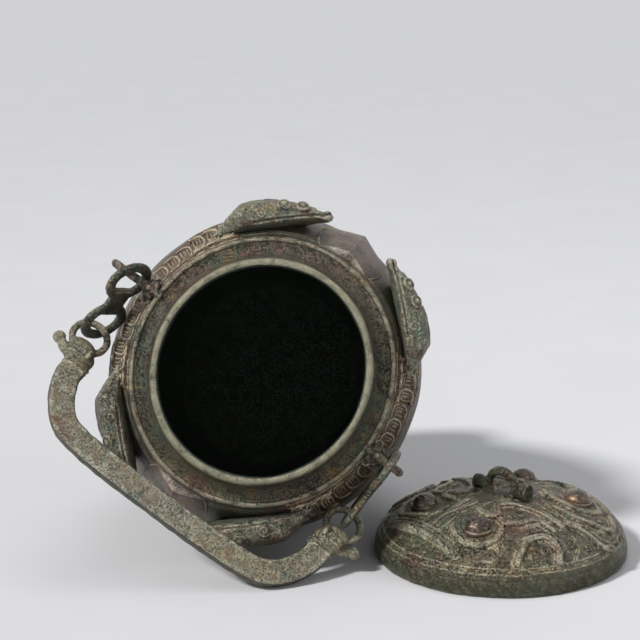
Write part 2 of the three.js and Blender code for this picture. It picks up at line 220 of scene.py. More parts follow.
def growth(name, sizes):
    """An empty Geometry Nodes tree with named inputs, and its two ends."""
    tree = bpy.data.node_groups.new(name, "GeometryNodeTree")
    tree.interface.new_socket("Geometry", in_out="INPUT", socket_type="NodeSocketGeometry")
    for label, kind in sizes.items():
        tree.interface.new_socket(label, in_out="INPUT", socket_type="NodeSocket" + kind)
    tree.interface.new_socket("Geometry", in_out="OUTPUT", socket_type="NodeSocketGeometry")
    return tree, node(tree, "NodeGroupInput").outputs, node(tree, "NodeGroupOutput").inputs


def grown(tree, start, sizes):
    """The plain mesh that a tree makes from a mesh and its named sizes."""

    def change(work):
        growing = work.modifiers.new("grow", "NODES")
        growing.node_group = tree
        for item in tree.interface.items_tree:
            if item.in_out == "INPUT" and item.name in sizes:
                growing[item.identifier] = sizes[item.name]

    return evaluated(start, change)


def turning_tree():
    """Turns a profile of radius (x) and height (z) about the vertical axis, narrowed to the oval."""
    sizes = {"Profile": "Object", "Columns": "Int", "Rows": "Int", "Ovality": "Float", "Finish": "Material"}
    tree, given, result = growth("turning", sizes)
    columns, rows = Value(given["Columns"]), Value(given["Rows"])
    sheet = {"Size X": 1.0, "Size Y": 1.0, "Vertices X": columns + 1, "Vertices Y": rows}
    grid = node(tree, "GeometryNodeMeshGrid", None, sheet).outputs["Mesh"]
    place = node(tree, "GeometryNodeInputPosition").outputs[0]
    across = node(tree, "ShaderNodeSeparateXYZ", None, {0: place}).outputs
    turn = (Value(across["X"]) + 0.5) * (2 * np.pi)
    row = ((Value(across["Y"]) + 0.5) * (rows - 1)).maths("ROUND", (Value(across["Y"]) + 0.5) * (rows - 1))
    shape = node(tree, "GeometryNodeObjectInfo", None, {"Object": given["Profile"]}).outputs["Geometry"]
    kind = {"data_type": "FLOAT_VECTOR", "domain": "POINT"}
    sampled = node(tree, "GeometryNodeSampleIndex", kind, {"Geometry": shape, "Value": place, "Index": row})
    at = node(tree, "ShaderNodeSeparateXYZ", None, {0: sampled.outputs["Value"]}).outputs
    radius = Value(at["X"])
    x = radius * turn.maths("SINE", turn) * Value(given["Ovality"])
    y = radius * turn.maths("COSINE", turn)
    spot = node(tree, "ShaderNodeCombineXYZ", None, {"X": x, "Y": y, "Z": at["Z"]}).outputs[0]
    bent = node(tree, "GeometryNodeSetPosition", None, {"Geometry": grid, "Position": spot}).outputs[0]
    seamless = node(tree, "GeometryNodeMergeByDistance", None, {"Geometry": bent, "Distance": 0.001}).outputs[0]
    whole = node(tree, "GeometryNodeRealizeInstances", None, {"Geometry": seamless}).outputs[0]
    dressed = {"Geometry": whole, "Material": given["Finish"]}
    tree.links.new(node(tree, "GeometryNodeSetMaterial", None, dressed).outputs[0], result[0])
    return tree


turning = turning_tree()


def turned(profile, columns, finish):
    """A closed body turned from a profile of [radius, height]."""
    points = [(radius, 0.0, height) for radius, height in profile]
    drawn = bpy.data.objects.new("profile", mesh_of(points, []))
    bpy.context.scene.collection.objects.link(drawn)
    sizes = {"Profile": drawn, "Columns": columns, "Rows": len(points), "Ovality": ovality, "Finish": finish}
    mesh = closed(grown(turning, bpy.data.meshes.new("start"), sizes))
    bpy.data.objects.remove(drawn)
    return mesh


def shade(red, green, blue):
    """A colour as paint is named on screens, from 0 to 255, in the light that shaders count in."""
    parts = np.array([red, green, blue]) / 255
    return (*np.where(parts < 0.04045, parts / 12.92, ((parts + 0.055) / 1.055) ** 2.4), 1.0)


def blended(tree, share, under, over):
    """One colour laid over another by a share."""
    settings = {"data_type": "RGBA", "clamp_factor": True}
    return node(tree, "ShaderNodeMix", settings, {0: share, 6: under, 7: over}).outputs[2]


def patina(
    name, dark, mid, stain, pale, deposit, zones=(), wear=0.8, crust=0.8, gloss=0.5, metal=0.4, masks=(), pitting=1.0
):
    """Old bronze: mottled patina, a stain in clouds, coloured zones, worn pale crests and deposits in hollows."""
    material = bpy.data.materials.new(name)
    material.use_nodes = True
    tree = material.node_tree
    tree.nodes.clear()
    spot = node(tree, "ShaderNodeTexCoord").outputs["Object"]

    def clouds(scale, detail, rough):
        values = {"Vector": spot, "Scale": scale, "Detail": detail, "Roughness": rough}
        return Value(node(tree, "ShaderNodeTexNoise", None, values).outputs[0])

    def kept(label):
        return Value(node(tree, "ShaderNodeAttribute", {"attribute_name": label}).outputs["Fac"])

    cloud, mottle, speck, grit = clouds(17, 5, 0.6), clouds(120, 9, 0.72), clouds(720, 5, 0.72), clouds(2100, 2, 0.6)
    crest = kept("crest") + (speck - 0.5) * 0.9
    tone = mottle * 0.36 + speck * 0.44 + grit * 0.2 + (cloud - 0.5) * 0.35
    colour = blended(tree, tone.between(0.4, 0.61), shade(*dark), shade(*mid))
    stained = cloud + (mottle - 0.5) * 0.6 + (speck - 0.5) * 0.6
    colour = blended(tree, stained.between(0.46, 0.66) * 0.7, colour, shade(*stain))
    for size, tint in ((52, (62, 104, 92)), (67, (140, 112, 66)), (43, (118, 72, 56))):
        patches = clouds(size, 6, 0.65) + (speck - 0.5) * 0.6
        colour = blended(tree, patches.between(0.55, 0.68) * 0.6, colour, shade(*tint))
    for centre, radius, tint, strength in zones:
        away = node(tree, "ShaderNodeVectorMath", {"operation": "DISTANCE"}, {0: spot, 1: np.array(centre) / 1000})
        near = (1 - Value(away.outputs["Value"]) / (radius / 1000)).between(0.0, 0.5)
        broken = (mottle * 0.7 + speck * 0.6 + grit * 0.3).between(0.72, 0.94)
        colour = blended(tree, near * broken * strength, colour, shade(*tint))
    pitted = (0.8 - mottle * 0.22 - speck * 0.95 - grit * 0.35).between(0.03, 0.15)
    colour = blended(tree, pitted * (0.6 * pitting), colour, shade(20, 20, 17))
    worn = crest.between(0.1, 0.8) * (mottle + (grit - 0.5) * 0.9).between(0.36, 0.58) * wear
    colour = blended(tree, worn, colour, shade(*pale))
    crusted = (0 - crest).between(0.2, 0.9) * (mottle + (speck - 0.5) * 0.9).between(0.46, 0.6) * crust
    colour = blended(tree, crusted, colour, shade(*deposit))
    colour = blended(tree, (grit * 0.6 + speck).between(0.9, 1.02) * 0.45, colour, shade(*deposit))
    for label, tint, strength in masks:
        colour = blended(tree, kept(label) * strength * (speck + mottle).between(0.65, 1.0), colour, shade(*tint))
    rough = gloss - 0.04 + (speck - 0.5) * 0.5 + crusted * 0.25 - worn * 0.1
    height = mottle * 0.8 + speck * 0.8 + grit * 0.2 - pitted * 0.35
    bump = node(tree, "ShaderNodeBump", None, {"Strength": 0.85 * pitting, "Distance": 0.0012, "Height": height})
    values = {"Base Color": colour, "Roughness": rough, "Normal": bump.outputs[0], "Metallic": metal * (1 - crusted)}
    shader = node(tree, "ShaderNodeBsdfPrincipled", None, values)
    tree.links.new(shader.outputs[0], node(tree, "ShaderNodeOutputMaterial").inputs[0])
    return material


vessel_zones = [
    ((-110, -90, 225), 60, (96, 70, 58), 0.6), ((-140, -70, 130), 60, (50, 74, 58), 0.6),
    ((-30, -85, 235), 50, (104, 94, 96), 0.6), ((30, -80, 190), 45, (98, 76, 62), 0.6),
    ((25, -95, 110), 50, (54, 74, 58), 0.6), ((-110, -110, 70), 45, (108, 94, 62), 0.6),
    ((-40, -110, 55), 45, (74, 60, 50), 0.6), ((-120, -95, 175), 40, (108, 106, 98), 0.5),
    ((9, -26, 218), 60, (112, 88, 80), 0.85), ((-123, -77, 45), 50, (104, 88, 78), 0.7),
]
# The inside mask paints the inner wall a flat dark green-grey, partly its green patina and partly painted shade inside
# the mouth.
vessel_finish = patina(
    "vessel_patina", (38, 36, 30), (108, 98, 84), (58, 74, 60), (178, 170, 146), (136, 116, 88), vessel_zones,
    masks=[("lip", (150, 148, 124), 0.6), ("inside", (66, 76, 66), 1.0)], pitting=0.9, gloss=0.44, metal=0.5,
)
wall_outside = np.vstack([
    spaced([(0, 24), (77, 24)], 22),
    spaced(bezier((77, 24), (widest_radius, 96.08), (widest_radius, widest_height), 80), 56)[1:],
    spaced(bezier((widest_radius, widest_height), (widest_radius, 171.5), (shelf_radius, shelf_height), 80), 54)[1:],
])
wall_lip = spaced([
    (95.5, 213), (95, 213.5), (93.8, 213.7), (92.6, 213.1), (91.6, 212.5), (89.5, 212.4), (87.6, 212.8), (85.6, 213.8),
    (83.4, 215.6), (81.4, 218.2), (80.2, 221.2), (79.6, 223.6), (79.6, 225.0), (79.7, 226.4), (79.4, 228),
    (78.4, 229.4), (77.2, 230), (75.6, 229.9), (74.4, 229.2), (73.7, 227.6), (73.7, 224),
], 52)[1:]
wall_inside = np.vstack([
    spaced(bezier((73.7, 224), (73.6, 217.25), (83.1, 209.6), 30), 10),
    spaced(bezier((83.1, 209.6), (116.6, 171.5), (116.6, widest_height), 40), 22)[1:],
    spaced(bezier((116.6, widest_height), (116.6, 96.08), (72.5, 31), 40), 24)[1:],
    spaced([(72.5, 31), (0, 31)], 14)[1:],
])[1:]
wall_profile = np.vstack([wall_outside, wall_lip, wall_inside]) * [faceting, 1]
wall = turned(wall_profile, 400, vessel_finish)
points, _, normals = read(wall)
reach = np.hypot(points[:, 0] / ovality, points[:, 1])
middle = np.interp(
    points[:, 2], [24, 31, 100, 130, 171, 209, 213, 216, 219, 224], [50, 75, 112, 118, 110, 89, 83.7, 80.2, 78, 76.6])
inner = (reach < middle) & (points[:, 2] > 27) & ((points[:, 2] < 228.5) | (reach < 74.2))
spread = ripples(points, 55, 1) * 0.22 + ripples(points, 18, 2) * 0.05
rings = sum(np.exp(-(((points[:, 2] - z) / 0.7) ** 2)) for z in (207.5, 204.0)) * 0.3
write(wall, points + normals * (spread + rings * ~inner)[:, None])
# Marks the inner wall for the finish's flat dark green-grey, which is partly patina and partly painted shade inside the
# mouth.
mark(wall, "inside", inner * 1.0)
mark(wall, "lip", np.clip((points[:, 2] - 222.5) / 3, 0, 1) * ~inner)
placed(wall, "vessel_wall", lying, "vessel", "bronze", vessel_finish, "vessel_body")

# Foot ring: the flared ring that the vessel stands on when upright, cast in one with the body.
# Its bronze is dark and rubbed at the edge, with a raised cord round its middle.
foot_profile = np.array([
    (84, 0.5), (84, 3.5), (82.6, 5.2), (80.8, 8), (80.4, 10.4), (81.3, 11.2), (81.3, 12.8), (80.2, 13.6), (78.6, 17),
    (77.4, 20.6), (76.8, 24.2), (71.5, 24.2), (72.6, 16), (75.6, 7), (77.8, 0.6), (78.6, 0), (83.4, 0), (84, 0.5),
]) * [faceting, 1]
foot = turned(spaced(foot_profile, 110), 400, vessel_finish)
points, _, normals = read(foot)
write(foot, points + normals * (ripples(points, 30, 4) * 0.15 + ripples(points, 7, 5) * 0.06)[:, None])
placed(foot, "foot_band", lying, "vessel", "bronze", vessel_finish, "foot_ring")

# Ears: a D-shaped eye on each side of the shoulder, which a link hangs on.
# Cast on with the body, as a bent bar that grows out of a cluster of small bosses, and rubbed pale by the link.
ear_finish = patina(
    "ear_patina", (48, 43, 36), (100, 88, 76), (76, 84, 68), (176, 160, 144), (112, 84, 60),
    [((-155, 55, 200), 40, (96, 74, 62), 0.7)], wear=0.9,
)


def skinned(rings, joined=False):
    """A closed body over rings of points, capped at both ends or joined end to end."""
    rings = np.asarray(rings, float)
    count, around = rings.shape[:2]
    index = np.arange(count * around).reshape(count, around)
    if joined:
        index = np.vstack([index, index[:1]])
    near, far = index[:-1], index[1:]
    faces = np.stack([near, np.roll(near, -1, 1), np.roll(far, -1, 1), far], -1).reshape(-1, 4).tolist()
    points = rings.reshape(-1, 3)
    if not joined:
        points = np.vstack([points, rings[0].mean(0), rings[-1].mean(0)])
        start, end = len(points) - 2, len(points) - 1
        faces += [[start, int(b), int(a)] for a, b in zip(index[0], np.roll(index[0], -1))]
        faces += [[end, int(a), int(b)] for a, b in zip(index[-1], np.roll(index[-1], -1))]
    return points, faces


def bar(path, radius, side, sides=16, joined=False, squareness=1.0):
    """A bar along a path: its radii are across the side direction and along it, one pair or one for each point."""
    path = np.asarray(path, float)
    if joined:
        along = np.roll(path, -1, 0) - np.roll(path, 1, 0)
    else:
        along = np.gradient(path, axis=0)
    along /= np.linalg.norm(along, axis=1)[:, None]
    radii = np.broadcast_to(np.asarray(radius, float).reshape(-1, 1) if np.ndim(radius) < 2 else radius, (len(path), 2))
    across = np.cross(along, side)
    across /= np.linalg.norm(across, axis=1)[:, None]
    up = np.cross(across, along)
    turn = np.linspace(0, 2 * np.pi, sides, endpoint=False)
    round_x = np.sign(np.cos(turn)) * np.abs(np.cos(turn)) ** squareness
    round_y = np.sign(np.sin(turn)) * np.abs(np.sin(turn)) ** squareness
    rings = path[:, None] + across[:, None] * (radii[:, :1] * round_x)[..., None]
    return skinned(rings + up[:, None] * (radii[:, 1:] * round_y)[..., None], joined)


def ball(centre, radii, turn=None, steps=14):
    """A ball or egg, with its own turn if it leans."""
    rise = np.linspace(-np.pi / 2, np.pi / 2, steps + 2)[1:-1]
    way = np.linspace(0, 2 * np.pi, 2 * steps, endpoint=False)
    unit = np.stack([
        np.cos(rise)[:, None] * np.cos(way), np.cos(rise)[:, None] * np.sin(way),
        np.broadcast_to(np.sin(rise)[:, None], (steps, 2 * steps)),
    ], -1)
    shape = unit * np.broadcast_to(radii, 3)
    return skinned((shape if turn is None else shape @ turn.T) + np.array(centre))


def hoop(centre, radii, wire, normal, sides=14, steps=48):
    """A ring of wire about a normal, round or oval."""
    normal = np.array(normal, float) / np.linalg.norm(normal)
    first = np.cross(normal, (0, 0, 1) if abs(normal[2]) < 0.9 else (1, 0, 0))
    first /= np.linalg.norm(first)
    second = np.cross(normal, first)
    wide, high = np.broadcast_to(radii, 2)
    turn = np.linspace(0, 2 * np.pi, steps, endpoint=False)[:, None]
    path = np.array(centre) + first * wide * np.cos(turn) + second * high * np.sin(turn)
    return bar(path, wire, normal, sides, joined=True)


def flowing(corners, count):
    """Points at even steps on a smooth line through corners."""
    given = np.asarray(corners, float)
    given = np.vstack([2 * given[0] - given[1], given, 2 * given[-1] - given[-2]])
    runs = []
    for i in range(1, len(given) - 2):
        p = given[i - 1:i + 3]
        knots = np.concatenate([[0], np.cumsum(np.sqrt(np.linalg.norm(np.diff(p, axis=0), axis=1)))])
        t = np.linspace(knots[1], knots[2], 24, endpoint=False)[:, None]

        def between(low, high, start, end):
            return ((knots[high] - t) * start + (t - knots[low]) * end) / (knots[high] - knots[low])

        first, second, third = (between(k, k + 1, p[k], p[k + 1]) for k in range(3))
        runs.append(between(1, 2, between(0, 2, first, second), between(1, 3, second, third)))
    return spaced(np.vstack([*runs, given[-2:-1]]), count)


def gathered(shapes):
    """Several closed shapes as one list of points and faces."""
    points, faces, base = [], [], 0
    for some, flat in shapes:
        points.append(some)
        faces += [[base + i for i in face] for face in flat]
        base += len(some)
    return np.vstack(points), faces


def fused(shapes, cell, passes=3):
    """Shapes grown together into one skin of even cells, and smoothed."""

    def change(work):
        skin = work.modifiers.new("skin", "REMESH")
        skin.mode, skin.voxel_size, skin.adaptivity = "VOXEL", cell, 0.0
        soft = work.modifiers.new("soft", "SMOOTH")
        soft.factor, soft.iterations = 0.5, passes

    return closed(evaluated(closed(mesh_of(*gathered(shapes))), change))


def off_line(points, path):
    """How far each point lies from a line of corners."""
    path = np.asarray(path, float)
    nearest = np.full(len(points), 1e9)
    for start, end in zip(path[:-1], path[1:]):
        way = end - start
        share = np.clip(((points - start) @ way) / max(way @ way, 1e-9), 0, 1)
        nearest = np.minimum(nearest, np.linalg.norm(points - start - share[:, None] * way, axis=1))
    return nearest


def moved(mesh, turn, shift=(0, 0, 0), then=(0, 0, 0)):
    """Shifts a mesh, turns or mirrors it, and shifts it again."""
    write(mesh, (read(mesh)[0] + shift) @ np.array(turn, float) + then)
    return mesh


def worked(mesh, lines, seed, rough=0.12, grain=6):
    """Raises (or sinks, below 0) lines of [path, height, half width] on a skin, and leaves it uneven."""
    points, _, normals = read(mesh)
    lift = ripples(points, grain, seed) * rough + ripples(points, grain / 3, seed + 1) * rough * 0.4
    for path, height, half in lines:
        lift += height * np.exp(-((off_line(points, path) / half) ** 2))
    write(mesh, points + normals * lift[:, None])
    return mesh


def spiral(centre, size, turns, way, up, hand=1, count=34):
    """A curl about a centre, in the plane of two directions."""
    t = np.linspace(0, 1, count)
    angle = hand * 2 * np.pi * turns * t
    radius = size * (1 - 0.86 * t)
    return np.array(centre) + np.outer(radius * np.cos(angle), way) + np.outer(radius * np.sin(angle), up)


ear_top, ear_foot, ear_root = 211.0, 187.0, 87.5
for name, side, reach in (("right", 1, 118.2), ("left", -1, 127.7)):
    corner = np.radians(np.linspace(90, 0, 7))
    upper = [(reach - 5 + 5 * np.cos(a), 0, ear_top - 5 + 5 * np.sin(a)) for a in corner]
    lower = [(x, 0, ear_top + ear_foot - z) for x, _, z in upper[::-1]]
    route = spaced([(ear_root, 0, ear_top), *upper, *lower, (ear_root, 0, ear_foot)], 90)
    swell = 2.95 + 0.5 * np.clip((107 - route[:, 0]) / 12, 0, 1)
    shapes = [bar(route, swell, (0, 1, 0), 18)]
    for x, y, z, radius in ((95.5, 3, 210, 4), (95.5, -3, 210, 4), (99, 4.6, 206.4, 2.7), (99, -4.6, 206.4, 2.7),
                            (102, 0, 208.4, 3.4), (98, 0, 212.6, 2.6), (103.5, 3, 190, 3), (103.5, -3, 190, 3)):
        shapes.append(ball((x, y, z), radius, steps=10))
    for y in (-1, 1):
        shapes.append(bar(spiral((94.5, y * 7.2, 209.6), 3.2, 1.2, (1, 0, 0), (0, y, 0.1)), 0.9, (0.1, 0, 1), 8))
    cords = [(hoop((103, 0, z), 3.4, 0.1, (1, 0, 0))[0][::14], 0.35, 0.5) for z in (ear_top, ear_foot)]
    ear = worked(fused(shapes, 0.55, 2), cords, 20)
    moved(ear, np.diag([side, side, 1]))
    placed(ear, f"ear_loop_{name}", lying, "vessel", "bronze", ear_finish, f"ear_{name}")

# Snakes: four long bodies laid over the shoulder, each running from an ear up to its head beside a ridge.
# They were cast with the wall: a smooth outer strip, and panels framed by raised lines with a square curl inside.
snake_finish = patina(
    "snake_patina", (58, 42, 35), (120, 84, 68), (74, 76, 58), (190, 174, 148), (140, 122, 94),
    [
        ((-130, -60, 95), 70, (50, 68, 54), 0.8), ((30, -60, 120), 70, (84, 80, 66), 0.6),
        ((-60, -90, 210), 50, (108, 94, 94), 0.4),
    ],
    wear=0.95,
)
quarters = [(-1, 1), (1, 1), (-1, -1), (1, -1)]


def shoulder(share, lift):
    """Radius and height at a share of the way down the shoulder, at a lift off it."""
    slope = 2 * shoulder_spread * (1 - share) / shoulder_height
    outwards = lift / np.hypot(1, slope)
    radius = widest_radius - shoulder_spread * (1 - share) ** 2 + outwards
    return radius, shelf_height - share * shoulder_height + slope * outwards


def on_shoulder(angle, share, lift):
    """A point by its angle from the upper ridge, its share of the way down the shoulder and its lift off it."""
    radius, height = shoulder(share, lift)
    turn = np.radians(angle)
    return np.stack(np.broadcast_arrays(ovality * radius * np.sin(turn), radius * np.cos(turn), height), -1)


def step(values, low, high):
    share = np.clip((values - low) / (high - low), 0, 1)
    return share * share * (3 - 2 * share)


angles, shares = np.linspace(85, 46.5, 160)[:, None], np.linspace(0.03, 0.47, 88)[None, :]
across = (shares - 0.03) / 0.44
proud = 0.45 + 1.7 * (1 - step(angles, 65, 69))
tail = 1 - step(angles, 83, 85)
surface = proud * step(across, 0, 0.07) * (1 - step(across, 0.93, 1)) * tail
for line in (0.07, 0.71, 0.93):
    surface = surface + 0.5 * np.exp(-(((across - line) / 0.016) ** 2)) * np.minimum(proud / 1.2, 1) * tail
bed = step(across, 0.09, 0.12) * (1 - step(across, 0.68, 0.71)) * (1 - step(angles, 80, 83))
surface = surface - 0.45 * np.minimum(proud, 1.1) * bed
surface = surface * step(angles, 46.5, 50.5) - 0.5 * (1 - step(angles, 46.5, 49))
outer = on_shoulder(angles, shares, surface)
under = on_shoulder(angles, shares, np.full_like(surface, -1.6))
for i, (side, front) in enumerate(quarters):
    rings = np.concatenate([outer, under[:, ::-1]], 1) * [side, front, 1]
    body = closed(mesh_of(*skinned(rings)))
    worked(body, [], 30 + i, rough=0.13, grain=9)
    placed(body, f"snake_body_{i + 1}", lying, "vessel", "red_bronze", snake_finish, f"snake_{i + 1}")


def strewing_tree():
    """Sets a motif on every station of a mesh, facing out and pointing along, at the station's size."""
    tree, given, result = growth("strewing", {"Motif": "Object", "Finish": "Material"})

    def kept(label):
        attribute = node(tree, "GeometryNodeInputNamedAttribute", {"data_type": "FLOAT_VECTOR"}, {"Name": label})
        return attribute.outputs["Attribute"]

    axes = {"Primary Axis": kept("out"), "Secondary Axis": kept("along")}
    turn = node(tree, "FunctionNodeAxesToRotation", {"primary_axis": "Z", "secondary_axis": "X"}, axes).outputs[0]
    motif = node(tree, "GeometryNodeObjectInfo", None, {"Object": given["Motif"]}).outputs["Geometry"]
    values = {"Points": given["Geometry"], "Instance": motif, "Rotation": turn, "Scale": kept("size")}
    set_out = node(tree, "GeometryNodeInstanceOnPoints", None, values).outputs[0]
    whole = node(tree, "GeometryNodeRealizeInstances", None, {"Geometry": set_out}).outputs[0]
    dressed = {"Geometry": whole, "Material": given["Finish"]}
    tree.links.new(node(tree, "GeometryNodeSetMaterial", None, dressed).outputs[0], result[0])
    return tree


strewing = strewing_tree()


def strewn(motif, stations, finish):
    """One mesh of a motif (points and faces) set on stations of [place, out, along, size]."""
    drawn = bpy.data.objects.new("motif", closed(mesh_of(*motif)))
    bpy.context.scene.collection.objects.link(drawn)
    start = mesh_of([station[0] for station in stations], [])
    for column, label in ((1, "out"), (2, "along"), (3, "size")):
        attribute = start.attributes.new(label, "FLOAT_VECTOR", "POINT")
        attribute.data.foreach_set("vector", np.array([s[column] for s in stations], np.float32).ravel())
    mesh = closed(grown(strewing, start, {"Motif": drawn, "Finish": finish}))
    for label in ("out", "along", "size"):
        if label in mesh.attributes:
            mesh.attributes.remove(mesh.attributes[label])
    bpy.data.objects.remove(drawn)
    return mesh


def station(angle, share, lift, side, front, size):
    """A place on the shoulder with its outward direction and the one towards the snake's head."""
    at, near = on_shoulder(angle, share, lift), on_shoulder(angle - 0.5, share, lift)
    out = on_shoulder(angle, share, lift + 1) - at
    mirror = np.array([side, front, 1])
    return at * mirror, out * mirror, (near - at) * mirror, size


def flat_line(corners, wide=0.85, high=1.05):
    path = np.column_stack([np.asarray(corners, float), np.zeros(len(corners))])
    return bar(path, [[wide, high]] * len(path), (0, 0, 1), 6)


panel_finish = patina(
    "panel_patina", (124, 104, 80), (172, 156, 126), (138, 132, 102), (206, 194, 164), (124, 100, 70),
    wear=0.9, metal=0.3,
)
frame_line = flowing([(-4.9, -11.6), (1.4, -11.6), (4.6, -8), (5.6, 0), (4.6, 8), (1.4, 11.6), (-4.9, 11.6)], 28)
curl_line = [(-3.1, -8.2), (2.2, -7.4), (2.6, 6.6), (-2.6, 7.2), (-2.7, -4.8), (0.2, -4.4), (0.3, 3.2), (-1.1, 3.4)]
panel = gathered([flat_line(frame_line), flat_line(curl_line, 0.65, 0.9)])
stations = []
for side, front in quarters:
    for k in range(6):
        angle = 52.6 + 6.1 * k
        low = angle > 66
        size = (0.95, 1.12 - 0.04 * k, 0.5 if low else 1.15)
        stations.append(station(angle, 0.03 + 0.44 * 0.39, 0.12 if low else 1.55, side, front, size))
panels = worked(strewn(panel, stations, panel_finish), [], 36, rough=0.06, grain=5)
placed(panels, "snake_panels", lying, "vessel", "red_bronze", panel_finish)

# Snakes' heads: four, one on each side of each ridge, standing proud of the shoulder in full relief.
# Cast on with the body and chased afterwards: a mouth slit, round eyes in raised rims, ribs and curls on the cheek.
head_finish = patina(
    "head_patina", (78, 78, 66), (148, 142, 124), (100, 114, 94), (194, 186, 164), (112, 96, 72),
    [
        ((-75, -115, 222), 26, (78, 112, 102), 0.6), ((60, -60, 190), 50, (72, 92, 72), 0.5),
        ((-100, -80, 225), 40, (98, 76, 62), 0.5),
    ],
    wear=0.75, gloss=0.4, metal=0.5,
)


def oval_spot(angle, radius):
    turn = np.radians(angle)
    return np.array([ovality * radius * np.sin(turn), radius * np.cos(turn)])


def crown_radius(share):
    """How far out a head's back lies at a share of its length."""
    return 118.6 + 4.5 * np.sin(np.pi * (0.15 + 0.85 * share))


chin, tip = oval_spot(45, 101.5), oval_spot(12.5, 117.6)
rings = []
for share in np.linspace(-0.3, 1, 84):
    grown_up = step(share, -0.3, 0.12)
    crown = oval_spot(49 - 36.5 * share, crown_radius(max(share, 0)) - 15 * (1 - grown_up))
    jaw = chin + (tip - chin) * share if share > 0 else oval_spot(45 - 36.5 * share, 101.5)
    thick = np.linalg.norm(crown - jaw)
    outwards = (crown - jaw) / max(thick, 1e-6)
    if share > 0.9:
        outwards = oval_spot(13, 1) / np.linalg.norm(oval_spot(13, 1))
    blunt = np.sqrt(max(0.02, 1 - max(0, (share - 0.93) / 0.07) ** 2)) * np.sqrt(min(1, 0.1 + (share + 0.3) / 0.08))
    half = max(thick / 2, 4.2 - 8 * max(0, share - 0.8)) * blunt
    centre = (crown + jaw) / 2 - outwards * max(0, half - thick / 2) * 0.3
    top = 212.6 - 2.5 * max(share, 0) ** 3 - 9 * (1 - grown_up)
    low = 174 + 3 * share + 14 * step(share, 0.72, 1.0) + 14 * (1 - grown_up)
    depth, level = (top - low) / 2 * blunt, (top + low) / 2
    turn = np.linspace(0, 2 * np.pi, 44, endpoint=False)
    x, z = (np.sign(f) * np.abs(f) ** 0.68 for f in (np.cos(turn), np.sin(turn)))
    flat = centre + outwards * (half * x)[:, None]
    rings.append(np.column_stack([flat, level + depth * z]))
shapes = [skinned(rings)]
eyes = [((56.5, 101.5, 208.6), 4.1), ((45.4, 108.2, 208.2), 3.8)]
for (x, y, z), radius in eyes:
    out = np.array([x, y, 115.0]) / np.linalg.norm([x, y, 115])
    at = np.array([x, y, z])
    shapes += [ball(at + out * 0.8, radius - 0.5), hoop(at + out * 2.4, radius + 0.2, 0.9, out)]
shapes.append(ball((27.5, 114.5, 207.5), (4.2, 3.6, 4.2)))
slit = [(66, 80, 212), (55, 91, 212.5), (44, 101.5, 212.5), (34, 110.6, 212), (27, 117, 210), (24.5, 119.5, 204)]
slit = flowing(slit, 40)
under_jaw = flowing([(69, 75.5, 212), (57, 85.6, 212.4), (45, 97, 212.2), (33, 108, 211.5), (26, 114, 209)], 40)
brow = flowing([(80, 83, 212), (70, 96, 212.6), (58, 106, 212), (46, 113.5, 211), (36, 117.4, 209)], 40)


def on_head(angle, height):
    """A point on the outer side of a head."""
    return np.array([*oval_spot(angle, crown_radius((49 - angle) / 36.5)), height])


lines = [(slit, -2.8, 1.0), (under_jaw, 1.0, 0.9), (brow, 1.3, 1.1)]
for height in (179, 184, 189, 194, 199):
    rib = [on_head(angle, height + (46 - angle) * 0.12) for angle in np.linspace(47, 36 - (height - 179) * 0.15, 14)]
    lines += [(rib, 1.0, 1.1)]
for angle, height, size, hand in ((27, 186, 5.4, 1), (20.5, 196, 4.2, -1), (33, 181, 3.6, -1)):
    x, y, _ = on_head(angle, 0)
    away = np.array([x, y, 0]) / np.hypot(x, y)
    way = np.cross(away, (0, 0, 1))
    lines.append((spiral(on_head(angle, height), size, 1.5, way, np.array([0, 0, 1.0]), hand), 1.1, 0.9))
lines.append((spiral((66.5, 88, 212.3), 3.8, 1.5, np.array([1.0, 0, 0]), np.array([0, 1.0, 0])), 0.9, 0.8))
head = worked(fused(shapes, 0.68, 3), lines, 40, rough=0.16, grain=8)
for i, (side, front) in enumerate(quarters):
    copy = closed(moved(head.copy(), np.diag([side, front, 1])))
    placed(copy, f"snake_face_{i + 1}", lying, "vessel", "bronze", head_finish, f"snake_head_{i + 1}")

# Ridges: the raised spine between each pair of heads, on the long axis of the oval.
# Cast with the wall: two striated facets that meet in a sharp crest, with a cord of small beads down each side.
ridge_finish = patina(
    "ridge_patina", (80, 72, 66), (144, 131, 124), (114, 92, 80), (204, 192, 180), (126, 102, 80),
    wear=0.9, crust=0.6, gloss=0.42, metal=0.5, masks=[("rim", (82, 76, 65), 0.9)], pitting=0.8,
)


def ridge_lift(x, share):
    """How far a ridge stands off the shoulder, and its half width."""
    swell = np.sin(np.pi * (0.26 + 0.71 * share / 0.9))
    half = 27 * swell
    near = np.clip(np.abs(x) / half, 0, 1)
    return 7.5 * (0.4 + 0.6 * swell) * (1 - near) ** 1.1 + 0.15 * step(1 - near, 0, 0.06), half


shares = np.linspace(0.03, 0.9, 200)[:, None]
near = np.linspace(0, 1, 48) ** 1.25
wide = np.concatenate([-near[:0:-1], near])[None, :]
_, half = ridge_lift(0.0, shares)
x = wide * half
lift, _ = ridge_lift(x, shares)
fan = np.sin((np.abs(wide) * 11 + shares * 5) * 2 * np.pi)
lift = lift + 0.05 * fan * step(1 - np.abs(wide), 0.05, 0.15) * step(np.abs(wide), 0.05, 0.14)


def ridge_point(x, share, lift):
    radius, height = shoulder(share, lift)
    y = np.sqrt(np.maximum(radius**2 - (x / ovality) ** 2, 1))
    return np.stack(np.broadcast_arrays(x, y, height), -1)


